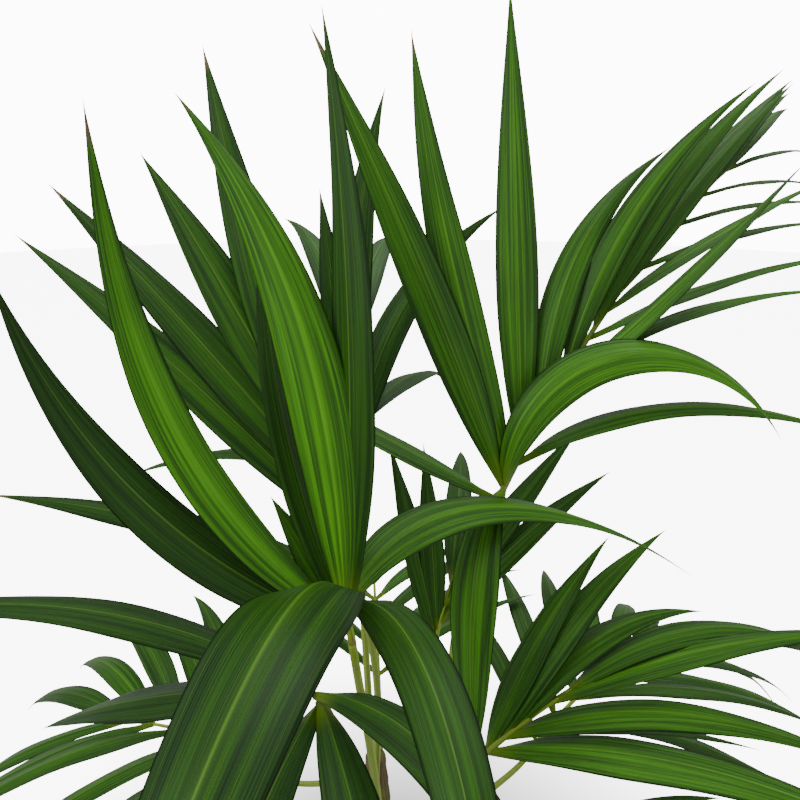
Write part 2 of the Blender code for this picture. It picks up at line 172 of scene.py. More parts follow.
RIGHT_LEAFLETS = (
    Leaflet(0.10, 48, 54, 0.24, 0.032, -18, 16, 0, 0),
    Leaflet(0.20, 42, 52, 0.27, 0.036, -18, 30, 0, 0),
    Leaflet(0.30, 37, 46, 0.25, 0.034, -26, 60, 0, 0),
    Leaflet(0.70, 20, 34, 0.31, 0.034, -20, 72, 0, 0),
    Leaflet(0.60, 8, 24, 0.32, 0.034, -10, 24, 0, 0),
    Leaflet(0.25, 4, 22, 0.32, 0.038, -30, 36, 0, 0),
    Leaflet(0.12, -12, 18, 0.36, 0.046, -20, 26, 0, 0),
    Leaflet(1.00, 14, 20, 0.28, 0.032, -4, 60, 0, 0),
)
LOW_LEFT_LEAFLETS = (
    Leaflet(0.50, -112, 0, 0.32, 0.038, 14, 60, 0, 0),
    Leaflet(0.60, -66, -5, 0.34, 0.046, -18, 60, 0, 0),
    Leaflet(0.80, -30, 24, 0.34, 0.042, -44, 100, 0, 0),
    Leaflet(0.95, 170, -8, 0.30, 0.048, -10, 28, 0, 0),
    Leaflet(0.80, 168, 30, 0.36, 0.038, 30, 32, 0, 0),
)
LEFT_BACK_LEAFLETS = (
    Leaflet(0.95, 147, 57, 0.30, 0.046, 4, 6, 45, 0),
    Leaflet(1.00, 134, 65, 0.36, 0.042, -14, 0, 30, 0),
    Leaflet(0.65, 156, 47, 0.38, 0.044, 6, 6, 50, 0),
    Leaflet(0.45, 160, 43, 0.40, 0.042, 6, 8, 50, 0),
    Leaflet(0.10, -168, 34, 0.32, 0.038, 2, 20, 20, 0),
)
BACK_LEAFLETS = (
    Leaflet(0.30, 112, 68, 0.28, 0.038, 0, 0, 10, 0),
    Leaflet(0.60, 100, 72, 0.34, 0.038, -50, 6, 0, 0),
    Leaflet(0.25, 70, 70, 0.33, 0.036, -60, 40, -20, 0),
    Leaflet(0.80, 106, 48, 0.36, 0.036, 10, 50, 0, 0),
    Leaflet(0.95, 84, 42, 0.36, 0.036, -6, 56, 0, 0),
    Leaflet(0.35, 150, 30, 0.36, 0.038, 6, 40, 0, 0),
    Leaflet(0.15, 160, 10, 0.34, 0.038, 6, 44, 0, 0),
    Leaflet(0.45, 60, 20, 0.32, 0.036, 10, 60, 0, 0),
)
INNER_LEAFLETS = (
    Leaflet(0.20, 120, 67, 0.25, 0.034, 8, 2, 0, 0),
    Leaflet(0.30, 100, 71, 0.23, 0.032, 6, 0, 0, 0),
    Leaflet(0.60, 26, 52, 0.28, 0.036, -2, 8, -30, 0),
    Leaflet(0.40, 22, 46, 0.28, 0.036, -8, 16, -30, 0),
    Leaflet(0.90, 80, 40, 0.30, 0.036, 6, 60, 0, 0),
)
# The older fronds that arch out low round the pot carry their leaflets by rule
OLD_FRONDS = (
    Frond(
        "old_front_right", 0, (0.070, -0.145, 0.385),
        heading=-48, rise=44, rib=0.22, turn=0, droop=45,
    ),
    Frond(
        "old_front_left", 0, (-0.125, -0.130, 0.380),
        heading=-134, rise=42, rib=0.20, turn=0, droop=45,
    ),
    Frond(
        "old_left", 2, (-0.150, 0.075, 0.335),
        heading=172, rise=40, rib=0.22, turn=0, droop=45,
    ),
    Frond(
        "old_back", 2, (-0.030, 0.185, 0.370),
        heading=94, rise=40, rib=0.22, turn=0, droop=45,
    ),
    Frond(
        "old_right", 1, (0.165, 0.095, 0.350),
        heading=34, rise=40, rib=0.22, turn=0, droop=45,
    ),
)
OLD_PAIRS = 5
OLD_FIRST_AT = 0.10
OLD_LENGTH = 0.32
OLD_WIDTH = 0.038
# An end leaflet's size as a share of a middle one's, and how near the first pair is to an end
OLD_END_SIZE = 0.78
OLD_SIZE_START = 0.15
OLD_LIFT = 12
OLD_DROOP = 62
OLD_ANGLE_FIRST = 78
OLD_ANGLE_LAST = 26
OLD_TURN_SHARE = 0.25
OLD_ROLL = 12
OLD_JITTER = 6
OLD_SEED = 11

PHOTO_FRONDS = (
    (FRONT, FRONT_LEAFLETS),
    (UPRIGHT, UPRIGHT_LEAFLETS),
    (RIGHT, RIGHT_LEAFLETS),
    (LOW_LEFT, LOW_LEFT_LEAFLETS),
    (LEFT_BACK, LEFT_BACK_LEAFLETS),
    (BACK, BACK_LEAFLETS),
    (INNER, INNER_LEAFLETS),
)

# How light each leaflet's green is, from 0, deep, to 1, bright yellow-green: its own tone with
# painted light and shade, low for leaflets in shade and high for lit ones
LEAF_TONE_AND_SHADE = {
    "front": (0.17, 0.24, 0.85, 0.72, 0.62, 0.20, 0.14, 0.26, 0.45, 0.30),
    "upright": (
        0.48, 0.55, 0.55, 0.80, 0.50, 0.50, 0.55, 0.42, 0.46, 0.46, 0.40, 0.62,
        0.66, 0.60, 0.55, 0.42, 0.42, 0.42, 0.42, 0.50, 0.50, 0.50, 0.50,
    ),
    "right": (0.42, 0.45, 0.50, 0.48, 0.50, 0.55, 0.58, 0.50),
    "low_left": (0.14, 0.18, 0.20, 0.16, 0.18),
    "left_back": (0.32, 0.26, 0.26, 0.30, 0.24),
    "back": (0.24, 0.26, 0.22, 0.26, 0.24, 0.26, 0.28, 0.26),
    "inner": (0.24, 0.22, 0.32, 0.30, 0.24),
}
OLD_TONE_LOW = 0.20
OLD_TONE_HIGH = 0.42


def direction(heading, rise):
    """Unit vector at a heading and a rise in degrees."""
    turn, lift = math.radians(heading), math.radians(rise)
    level = math.cos(lift)
    return Vector((level * math.cos(turn), level * math.sin(turn), math.sin(lift)))


def bent_path(start, heading, rise, length, turn, droop, steps, bend=1):
    """Points and directions along a line that turns evenly and droops sooner or later."""
    points, ways = [Vector(start)], [direction(heading, rise)]
    for step in range(1, steps + 1):
        middle = (step - 0.5) / steps
        way = direction(heading + turn * middle, rise - droop * middle**bend)
        points.append(points[-1] + way * (length / steps))
        share = step / steps
        ways.append(direction(heading + turn * share, rise - droop * share**bend))
    return points, ways


def rib_path(frond):
    return bent_path(
        frond.foot, frond.heading, frond.rise, frond.rib, frond.turn, frond.droop, RIB_FINE_STEPS
    )


def outline(share):
    """A blade's width at a share of its length, as a share of its greatest width."""
    if share < BLADE_WIDEST:
        return BLADE_FOOT + (1 - BLADE_FOOT) * math.sin(math.pi / 2 * share / BLADE_WIDEST)
    past = (share - BLADE_WIDEST) / (1 - BLADE_WIDEST)
    return max(math.cos(math.pi / 2 * past), 0) ** BLADE_POINT


def blade_path(frond, leaf):
    """Points, unit width vectors and upper normals along a leaflet's blade."""
    root = rib_path(frond)[0][round(leaf.at * RIB_FINE_STEPS)]
    points, ways = bent_path(
        root, leaf.heading, leaf.rise, leaf.length, leaf.turn, leaf.droop, BLADE_ROWS, leaf.bend
    )
    right = direction(leaf.heading - 90, 0)
    roll = math.radians(leaf.roll)
    across = right * math.cos(roll) + right.cross(ways[0]) * math.sin(roll)
    rows, ups = [], []
    for step, way in enumerate(ways):
        across = (across - way * across.dot(way)).normalized()
        twist = math.radians(leaf.twist) * step / BLADE_ROWS
        row = (across * math.cos(twist) + across.cross(way) * math.sin(twist)).normalized()
        rows.append(row)
        ups.append(row.cross(way))
    return points, rows, ups


def old_leaflets(frond, number):
    """Leaflets of an older frond: pairs that close towards the rib's tip, and a last pair on it."""
    draw = random.Random(OLD_SEED + number)
    leaflets = []
    for pair in range(OLD_PAIRS + 1):
        along = pair / OLD_PAIRS
        angle = OLD_ANGLE_FIRST + (OLD_ANGLE_LAST - OLD_ANGLE_FIRST) * along
        at = OLD_FIRST_AT + (1 - OLD_FIRST_AT) * along
        rise = frond.rise - frond.droop * at + OLD_LIFT
        middling = math.sin(math.pi * (OLD_SIZE_START + (1 - 2 * OLD_SIZE_START) * along))
        size = OLD_END_SIZE + (1 - OLD_END_SIZE) * middling
        for side in (1, -1):
            leaflets.append(
                Leaflet(
                    at=at,
                    heading=frond.heading + side * (angle + draw.uniform(-OLD_JITTER, OLD_JITTER)),
                    rise=rise + draw.uniform(-OLD_JITTER, OLD_JITTER),
                    length=OLD_LENGTH * size,
                    width=OLD_WIDTH * size,
                    turn=-side * OLD_TURN_SHARE * angle,
                    droop=OLD_DROOP + draw.uniform(-OLD_JITTER, OLD_JITTER),
                    roll=-side * OLD_ROLL,
                    twist=0,
                )
            )
    return leaflets


def all_fronds():
    """Every frond with its leaflets and how light each one is: listed tones with painted light and
    shade, and random tones on the older fronds.
    """
    fronds = [(frond, leaflets, LEAF_TONE_AND_SHADE[frond.name]) for frond, leaflets in PHOTO_FRONDS]
    for number, frond in enumerate(OLD_FRONDS):
        leaflets = old_leaflets(frond, number)
        draw = random.Random(number)
        tones_and_shade = [draw.uniform(OLD_TONE_LOW, OLD_TONE_HIGH) for _ in leaflets]
        fronds.append((frond, leaflets, tones_and_shade))
    return fronds


def pot_radius(height):
    """Outer radius of the pot's plain wall at a height."""
    return POT_FOOT_RADIUS + (POT_TOP_RADIUS - POT_RIM_STEP - POT_FOOT_RADIUS) * height / POT_HEIGHT


def stem_top(stem):
    return Vector((stem.x + stem.lean_x, stem.y + stem.lean_y, SOIL_TOP + GAP + stem.height))


def seats(fronds):
    """Where each frond's stalk stands: side by side round its stem's top, by heading."""
    places = {}
    spacing = math.radians(STALK_SEAT_SPACING)
    for number, spec in enumerate(STEMS):
        top = stem_top(spec)
        mine = [frond for frond in fronds if frond.stem == number]
        bearings = sorted(
            (math.atan2(frond.foot[1] - top.y, frond.foot[0] - top.x), frond.name) for frond in mine
        )
        spaces = [
            (bearings[i][0] - bearings[i - 1][0]) % (2 * math.pi) for i in range(len(bearings))
        ]
        widest = spaces.index(max(spaces))
        passed = [(angle + 2 * math.pi, name) for angle, name in bearings[:widest]]
        bearings = bearings[widest:] + passed
        first = sum(angle - i * spacing for i, (angle, _) in enumerate(bearings)) / len(bearings)
        for i, (_, name) in enumerate(bearings):
            angle = first + i * spacing
            offset = Vector((math.cos(angle), math.sin(angle), 0)) * STALK_SEAT_RADIUS
            places[name] = top + offset + Vector((0, 0, GAP))
    return places


class KentiaSettings(bpy.types.PropertyGroup):
    """Sizes and colours of the palm."""

    leaf_deep: bpy.props.FloatVectorProperty(
        name="Deep green", description="Darkest green of a leaflet", subtype="COLOR", min=0, max=1,
        default=(0.0030, 0.0260, 0.0022),
    )
    leaf_bright: bpy.props.FloatVectorProperty(
        name="Bright green", description="Lightest yellow-green of a leaflet",
        subtype="COLOR", min=0, max=1, default=(0.095, 0.360, 0.004),
    )
    leaf_vein: bpy.props.FloatVectorProperty(
        name="Vein", description="Colour of the pale veins", subtype="COLOR", min=0, max=1,
        default=(0.230, 0.460, 0.040),
    )
    leaf_under: bpy.props.FloatVectorProperty(
        name="Underside", description="Pale green under a leaflet", subtype="COLOR", min=0, max=1,
        default=(0.050, 0.120, 0.026),
    )
    leaf_tip: bpy.props.FloatVectorProperty(
        name="Dry tip", description="Brown of the dry threads at the tips",
        subtype="COLOR", min=0, max=1, default=(0.240, 0.170, 0.085),
    )
    stalk: bpy.props.FloatVectorProperty(
        name="Stalk", description="Yellow-green of the leaf stalks", subtype="COLOR", min=0, max=1,
        default=(0.290, 0.430, 0.020),
    )
    sheath: bpy.props.FloatVectorProperty(
        name="Sheath", description="Dry brown of the stems' sheaths", subtype="COLOR", min=0, max=1,
        default=(0.200, 0.130, 0.060),
    )
    pot: bpy.props.FloatVectorProperty(
        name="Pot", description="Warm grey of the pot", subtype="COLOR", min=0, max=1,
        default=(0.400, 0.345, 0.285),
    )
    soil: bpy.props.FloatVectorProperty(
        name="Soil", description="Dark brown of the soil", subtype="COLOR", min=0, max=1,
        default=(0.045, 0.030, 0.020),
    )
    blade_thickness: bpy.props.FloatProperty(
        name="Blade thickness", description="Thickness of a leaflet at its midrib", unit="LENGTH",
        default=0.0011, min=0.0003, max=0.003,
    )
    fold: bpy.props.FloatProperty(
        name="Fold", description="How far each half of a blade bends down from the midrib",
        subtype="ANGLE", default=math.radians(13), min=0, max=math.radians(60),
    )
    floor_radius: bpy.props.FloatProperty(
        name="Floor radius", description="Radius of the round studio floor", unit="LENGTH",
        default=9.0, min=1, max=40,
    )


class Nodes:
    """Short calls for building a material's node tree."""

    def __init__(self, name):
        self.material = bpy.data.materials.new(name)
        self.material.use_nodes = True
        self.tree = self.material.node_tree
        self.shader = self.tree.nodes["Principled BSDF"]

    def put(self, socket, value):
        if isinstance(value, bpy.types.NodeSocket):
            self.tree.links.new(value, socket)
        else:
            socket.default_value = value

    def math(self, operation, first, second=0.5, clamp=False):
        node = self.tree.nodes.new("ShaderNodeMath")
        node.operation = operation
        node.use_clamp = clamp
        self.put(node.inputs[0], first)
        self.put(node.inputs[1], second)
        return node.outputs[0]

    def times(self, value, factor):
        return self.math("MULTIPLY", value, factor)

    def plus(self, first, second, clamp=False):
        return self.math("ADD", first, second, clamp)

    def mix(self, factor, first, second):
        node = self.tree.nodes.new("ShaderNodeMix")
        node.data_type = "RGBA"
        self.put(node.inputs[0], factor)
        for socket, value in ((node.inputs[6], first), (node.inputs[7], second)):
            self.put(socket, value if isinstance(value, bpy.types.NodeSocket) else (*value, 1))
        return node.outputs[2]

    def tint(self, colour, other, mask, strength):
        """A colour turned towards another one where the mask is 1, by a share of the way."""
        return self.mix(self.times(mask, strength), colour, other)

    def ramp(self, value, low, high):
        """A smooth step from 0 at low to 1 at high."""
        node = self.tree.nodes.new("ShaderNodeMapRange")
        node.interpolation_type = "SMOOTHSTEP"
        self.put(node.inputs[0], value)
        node.inputs[1].default_value = low
        node.inputs[2].default_value = high
        return node.outputs[0]

    def attribute(self, name):
        node = self.tree.nodes.new("ShaderNodeAttribute")
        node.attribute_name = name
        return node.outputs["Fac"]

    def pattern(self):
        """The shares across and along a piece, from its own UV map."""
        source = self.tree.nodes.new("ShaderNodeUVMap")
        source.uv_map = "pattern"
        across, along, _ = self.split(source.outputs[0])
        return across, along

    def split(self, vector):
        node = self.tree.nodes.new("ShaderNodeSeparateXYZ")
        self.put(node.inputs[0], vector)
        return node.outputs

    def combine(self, *values):
        node = self.tree.nodes.new("ShaderNodeCombineXYZ")
        for socket, value in zip(node.inputs, values):
            self.put(socket, value)
        return node.outputs[0]

    def stretch(self, values, factors):
        """A vector of values, each multiplied, so that a pattern on it comes out long and thin."""
        return self.combine(*(self.times(value, factor) for value, factor in zip(values, factors)))

    def place(self):
        return self.tree.nodes.new("ShaderNodeTexCoord").outputs["Object"]

    def noise(self, vector, scale, detail=3, rough=0.5):
        node = self.tree.nodes.new("ShaderNodeTexNoise")
        self.put(node.inputs["Vector"], vector)
        node.inputs["Scale"].default_value = scale
        node.inputs["Detail"].default_value = detail
        node.inputs["Roughness"].default_value = rough
        return node.outputs["Fac"]

    def bump(self, height, distance, strength=1.0):
        node = self.tree.nodes.new("ShaderNodeBump")
        node.inputs["Distance"].default_value = distance
        node.inputs["Strength"].default_value = strength
        self.put(node.inputs["Height"], height)
        self.put(self.shader.inputs["Normal"], node.outputs[0])

    def uneven(self, pattern, least, spread):
        """A roughness that grows from the least one by the spread as a pattern goes from 0 to 1."""
        return self.plus(self.times(pattern, spread), least)

    def finish(self, colour, roughness):
        self.put(self.shader.inputs["Base Color"], colour)
        self.put(self.shader.inputs["Roughness"], roughness)
        return self.material


def shade(colour, factor):
    """A darker or lighter colour of the same kind."""
    return tuple(min(channel * factor, 1) for channel in colour)


def vein_lines(nodes, across, count, thin):
    """Thin lines at even spaces across a blade, 1 on a line and 0 between lines."""
    middle = 0.5
    wave = nodes.math("PINGPONG", nodes.times(across, count), middle)
    return nodes.ramp(wave, middle - thin, middle)


# How a blade's streaks and threads are stretched across it, along it, and from leaflet to leaflet
STREAKS = (17, 1.6, 40)
THREADS = (70, 2.5, 17)
# How much of a blade's light green comes from its middle, evenly, and from its threads
CENTRE_LIGHT = 0.35
EVEN_LIGHT = 0.12
THREAD_LIGHT = 0.34
# How pale the underside is, how many veins lie across a blade, and how much they stand out
UNDER_PALE = 0.55
FINE_VEINS = 34
STRONG_VEINS = 6
FINE_RELIEF = 0.35
STRONG_RELIEF = 1.0
THREAD_RELIEF = 0.8
# How much sooner some leaflets' tips turn dry
DRY_SPREAD = 0.04
LEAF_GLOSS = 0.24


def leaf_material(settings, under):
    """A blade's green, darker or lighter by its leaflet's tone with painted light and shade in it:
    lengthwise streaks, fine and strong veins, dark margin and a dry tip.
    """
    nodes = Nodes("leaf_under" if under else "leaf_upper")
    across, along = nodes.pattern()
    # The tone attribute holds each leaflet's own tone with painted light and shade: leaflets that
    # lie in shade are painted darker.
    tone, seed = nodes.attribute("tone"), nodes.attribute("seed")
    from_rib = nodes.times(nodes.math("ABSOLUTE", nodes.math("SUBTRACT", across, 0.5)), 2)

    broad = nodes.stretch((across, along, seed), STREAKS)
    streaks = nodes.ramp(nodes.noise(broad, scale=1, detail=4, rough=0.62), low=0.36, high=0.68)
    threads = nodes.noise(nodes.stretch((across, along, seed), THREADS), scale=1, detail=2)
    centre = nodes.ramp(from_rib, low=0.85, high=0)
    light = nodes.times(nodes.plus(streaks, nodes.times(centre, CENTRE_LIGHT)), tone)
    light = nodes.plus(light, nodes.times(tone, EVEN_LIGHT))
    uneven = nodes.times(nodes.math("SUBTRACT", threads, 0.5), THREAD_LIGHT)
    light = nodes.plus(light, uneven, clamp=True)
    if under:
        colour = nodes.mix(light, settings.leaf_under, settings.leaf_bright)
        colour = nodes.mix(UNDER_PALE, colour, settings.leaf_under)
    else:
        colour = nodes.mix(light, settings.leaf_deep, settings.leaf_bright)

    fine = vein_lines(nodes, across, FINE_VEINS, thin=0.16)
    strong = vein_lines(nodes, across, STRONG_VEINS, thin=0.03)
    midrib = nodes.ramp(from_rib, low=0.05, high=0)
    colour = nodes.tint(colour, settings.leaf_vein, fine, strength=0.10)
    colour = nodes.tint(colour, settings.leaf_vein, strong, strength=0.32)
    colour = nodes.tint(colour, settings.leaf_vein, midrib, strength=0.50 if under else 0.34)
    margin = nodes.ramp(from_rib, low=0.93, high=0.99)
    colour = nodes.tint(colour, settings.leaf_deep, margin, strength=0.55)
    foot = nodes.ramp(along, low=0.10, high=0)
    colour = nodes.tint(colour, settings.stalk, foot, strength=0.45)
    patches = nodes.ramp(nodes.noise(nodes.place(), scale=9, detail=2), low=0.45, high=0.75)
    colour = nodes.tint(colour, settings.leaf_deep, patches, strength=0.22)
    dry = nodes.ramp(nodes.plus(along, nodes.times(seed, DRY_SPREAD)), low=0.955, high=0.995)
    colour = nodes.mix(dry, colour, settings.leaf_tip)

    relief = nodes.plus(nodes.times(fine, FINE_RELIEF), nodes.times(strong, STRONG_RELIEF))
    relief = nodes.plus(relief, nodes.times(threads, THREAD_RELIEF))
    nodes.bump(relief, distance=0.00035, strength=0.9)
    nodes.shader.inputs["Specular IOR Level"].default_value = LEAF_GLOSS
    least = 0.55 if under else 0.36
    return nodes.finish(colour, nodes.uneven(threads, least, spread=0.14))


# How a stalk's lines are stretched round it and along it, and how much its flecks stand out
STALK_LINES = (26, 1)
FLECK_RELIEF = 0.5


def stalk_material(settings):
    """Leaf stalk: smooth yellow-green with darker lines along it and brown flecks of scurf."""
    nodes = Nodes("stalk_skin")
    around, along = nodes.pattern()
    lines = nodes.noise(nodes.stretch((around, along), STALK_LINES), scale=1)
    dark = shade(settings.stalk, 0.45)
    colour = nodes.mix(nodes.ramp(lines, low=0.38, high=0.70), settings.stalk, dark)
    flecks = nodes.ramp(nodes.noise(nodes.place(), scale=420, detail=2), low=0.62, high=0.70)
    colour = nodes.tint(colour, settings.sheath, flecks, strength=0.6)
    foot = nodes.ramp(along, low=0.22, high=0)
    colour = nodes.tint(colour, settings.sheath, foot, strength=0.7)
    relief = nodes.plus(lines, nodes.times(flecks, FLECK_RELIEF))
    nodes.bump(relief, distance=0.0004, strength=0.8)
    return nodes.finish(colour, nodes.uneven(lines, least=0.34, spread=0.2))


# How the sheaths' strands are stretched round a stem and along it, and what their green is made of
STRANDS = (90, 3)
GREEN_IN_SHEATH = 0.5
BROWN_IN_SHEATH = 0.25


def sheath_material(settings):
    """Old leaf sheaths: dry brown fibre with green showing in patches."""
    nodes = Nodes("sheath_fibre")
    strands = nodes.noise(nodes.stretch(nodes.pattern(), STRANDS), scale=1, detail=4, rough=0.6)
    patches = nodes.ramp(nodes.noise(nodes.place(), scale=45), low=0.42, high=0.62)
    green = tuple(
        GREEN_IN_SHEATH * stalk + BROWN_IN_SHEATH * sheath
        for stalk, sheath in zip(settings.stalk, settings.sheath)
    )
    colour = nodes.mix(patches, settings.sheath, green)
    dark = nodes.ramp(strands, low=0.40, high=0.72)
    colour = nodes.mix(dark, colour, shade(settings.sheath, 0.28))
    pale = nodes.ramp(strands, low=0.42, high=0.30)
    colour = nodes.tint(colour, shade(settings.sheath, 2.2), pale, strength=0.5)
    nodes.bump(strands, distance=0.0009)
    return nodes.finish(colour, nodes.uneven(strands, least=0.6, spread=0.25))


# How close the pot's turning lines lie, and how much its grain adds to their relief
TURNING_LINES = 260
GRAIN_RELIEF = 0.45


def pot_material(settings):
    """Matt stoneware: clouds of warm grey, fine dark specks and faint turning lines."""
    nodes = Nodes("stoneware")
    spot = nodes.place()
    cloud = nodes.noise(spot, scale=14, detail=4, rough=0.6)
    light, dark = shade(settings.pot, 1.25), shade(settings.pot, 0.75)
    colour = nodes.mix(nodes.ramp(cloud, low=0.35, high=0.68), light, dark)
    specks = nodes.ramp(nodes.noise(spot, scale=520, detail=1), low=0.66, high=0.71)
    colour = nodes.tint(colour, shade(settings.pot, 0.2), specks, strength=0.75)
    _, _, height = nodes.split(spot)
    level = nodes.combine(0, 0, nodes.times(height, TURNING_LINES))
    rings = nodes.noise(level, scale=1, detail=2)
    grain = nodes.noise(spot, scale=900, detail=2)
    relief = nodes.plus(rings, nodes.times(grain, GRAIN_RELIEF))
    nodes.bump(relief, distance=0.0005, strength=0.7)
    return nodes.finish(colour, nodes.uneven(cloud, least=0.52, spread=0.2))


def soil_material(settings):
    """Moist peat: near-black brown with lighter crumbs."""
    nodes = Nodes("soil_peat")
    crumbs = nodes.noise(nodes.place(), scale=240, detail=5, rough=0.65)
    pale = shade(settings.soil, 3.2)
    colour = nodes.mix(nodes.ramp(crumbs, low=0.45, high=0.72), settings.soil, pale)
    nodes.bump(crumbs, distance=0.003)
    return nodes.finish(colour, nodes.uneven(crumbs, least=0.78, spread=0.2))


def lay_sheet(bm, columns, rows, place, cell=None):
    """Lay a grid by a rule that turns the shares across and along it into a point.

    A cell is the sheet's own part of the bake map: its low corner and its size.
    """
    pattern = bm.loops.layers.uv["pattern"]
    made = bmesh.ops.create_grid(bm, x_segments=columns, y_segments=rows, size=0.5)["verts"]
    shares = {vert: (vert.co.x + 0.5, vert.co.y + 0.5) for vert in made}
    faces = list({face for vert in made for face in vert.link_faces})
    for face in faces:
        face.smooth = True
        for loop in face.loops:
            u, v = shares[loop.vert]
            loop[pattern].uv = (u, v)
            if cell:
                (x, y), (wide, high) = cell
                loop[bm.loops.layers.uv["OFBake"]].uv = (x + wide * u, y + high * v)
    for vert, (u, v) in shares.items():
        vert.co = place(u, v)
    return made, faces


MERGE_LIMB = 1e-6


def lay_tube(bm, points, radii, sides, relief=None):
    """A closed tapering limb along a path, with an outer relief by share round and along it."""
    steps = len(points) - 1
    frames = []
    across = (points[1] - points[0]).orthogonal().normalized()
    for i, point in enumerate(points):
        way = (points[min(i + 1, steps)] - points[max(i - 1, 0)]).normalized()
        across = (across - way * across.dot(way)).normalized()
        frames.append((point, across.copy(), way.cross(across)))

    def place(u, v):
        point, side, other = frames[round(v * steps)]
        radius = radii[round(v * steps)] + (relief(u, v) if relief else 0)
        angle = 2 * math.pi * u
        return point + (side * math.cos(angle) + other * math.sin(angle)) * radius

    made, _ = lay_sheet(bm, sides, steps, place)
    bmesh.ops.remove_doubles(bm, verts=made, dist=MERGE_LIMB)
    rims = [edge for edge in bm.edges if edge.is_boundary]
    bmesh.ops.holes_fill(bm, edges=rims, sides=0)


def new_piece(name, build, materials, replaced, bake_map=False):
    """A piece of the plant from a function that fills a bmesh."""
    bm = bmesh.new()
    bm.loops.layers.uv.new("pattern")
    if bake_map:
        bm.loops.layers.uv.new("OFBake")
    build(bm)
    bmesh.ops.recalc_face_normals(bm, faces=bm.faces)
    mesh = bpy.data.meshes.new(name)
    bm.to_mesh(mesh)
    bm.free()
    for material in materials:
        mesh.materials.append(material)
    piece = bpy.data.objects.new(name, mesh)
    bpy.context.scene.collection.objects.link(piece)
    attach(piece, "root")
    if replaced:
        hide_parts(replaced)
    return piece


def get_material(name, make, *values):
    """The material of that name, made on its first use."""
    return bpy.data.materials.get(name) or make(*values)


# How sharply a blade is folded at its foot, where it opens out, and how its margin waves
FOOT_FOLD = math.radians(58)
FOLD_OPENS = 0.16
WAVE_HEIGHT = 0.05
WAVE_SPREAD = (0.5, 1.3)
WAVES = 2.6
# A leaflet's two sides have a cell each in the bake map, which has this many rows of cells
ATLAS_ROWS = 2
ATLAS_MARGIN = 0.08
MERGE_BLADE = 2e-6


def lay_leaflet(bm, frond, leaf, tone, number, total, settings):
    """One leaflet: an upper and an under sheet that meet at the margin, folded along the midrib."""
    points, rows, ups = blade_path(frond, leaf)
    draw = random.Random(f"{frond.name} {number}")
    phase, seed = draw.uniform(0, 2 * math.pi), draw.random()
    flutter = WAVE_HEIGHT * draw.uniform(*WAVE_SPREAD)

    def surface(face_side):
        def place(u, v):
            step = round(v * BLADE_ROWS)
            side = 2 * u - 1
            half = leaf.width / 2 * outline(v)
            opened = min(v / FOLD_OPENS, 1)
            fold = FOOT_FOLD + (settings.fold - FOOT_FOLD) * math.sin(math.pi / 2 * opened)
            reach = abs(side) * half
            wave = flutter * half * side * side * math.sin(2 * math.pi * WAVES * v + phase + side)
            lift = (half / 2 - reach) * math.sin(fold) + wave
            thick = settings.blade_thickness / 2 * (1 - side * side) * math.sqrt(1 - v)
            point = points[step] + rows[step] * (side * half * math.cos(fold))
            return point + ups[step] * (lift + face_side * thick)

        return place

    columns = math.ceil(2 * total / ATLAS_ROWS)
    wide, high = 1 / columns, 1 / ATLAS_ROWS
    leaf_verts = []
    for under, face_side in enumerate((1, -1)):
        index = 2 * number + under
        column, row = index % columns, index // columns
        low = ((column + ATLAS_MARGIN) * wide, (row + ATLAS_MARGIN / 4) * high)
        cell = (low, (wide * (1 - 2 * ATLAS_MARGIN), high * (1 - ATLAS_MARGIN / 2)))
        made, faces = lay_sheet(bm, BLADE_COLUMNS, BLADE_ROWS, surface(face_side), cell)
        for face in faces:
            face.material_index = under
        leaf_verts += made
    # Each leaflet's tone, with painted light and shade in it, is kept on its vertices for the
    # material
    tone_and_shade_layer, seed_layer = bm.verts.layers.float["tone"], bm.verts.layers.float["seed"]
    for vert in leaf_verts:
        vert[tone_and_shade_layer] = tone
        vert[seed_layer] = seed
    bmesh.ops.remove_doubles(bm, verts=leaf_verts, dist=MERGE_BLADE)


class KENTIA_OT_fronds(bpy.types.Operator):
    """Grow every frond's fine leaflets on its rib"""

    bl_idname = "kentia.fronds"
    bl_label = "Fronds"

    def execute(self, context):
        settings = context.scene.kentia
        upper = get_material("leaf_upper", leaf_material, settings, False)
        under = get_material("leaf_under", leaf_material, settings, True)
        for frond, leaflets, tones_and_shade in all_fronds():

            def build(bm):
                bm.verts.layers.float.new("tone")
                bm.verts.layers.float.new("seed")
                for number, (leaf, tone) in enumerate(zip(leaflets, tones_and_shade)):
                    lay_leaflet(bm, frond, leaf, tone, number, len(leaflets), settings)

            new_piece(
                f"leaves_{frond.name}", build, (upper, under), f"frond_{frond.name}",
                bake_map=True,
            )
        return {"FINISHED"}


RIB_FINE_SIDES = 14


class KENTIA_OT_ribs(bpy.types.Operator):
    """Make the tapering rib that each frond's leaflets grow from"""

    bl_idname = "kentia.ribs"
    bl_label = "Ribs"

    def execute(self, context):
        green = get_material("stalk_skin", stalk_material, context.scene.kentia)
        for frond, _, _ in all_fronds():
            points, _ = rib_path(frond)
            taper = (RIB_TIP_RADIUS - STALK_TIP_RADIUS) / RIB_FINE_STEPS
            radii = [STALK_TIP_RADIUS + taper * i for i in range(RIB_FINE_STEPS + 1)]
            new_piece(
                f"rib_{frond.name}", lambda bm: lay_tube(bm, points, radii, RIB_FINE_SIDES),
                (green,), f"frond_{frond.name}",
            )
        return {"FINISHED"}


STALK_FINE_STEPS = 60
STALK_FINE_SIDES = 20
STALK_CHANNEL = 0.0007
STALK_CHANNEL_SHARPNESS = 6


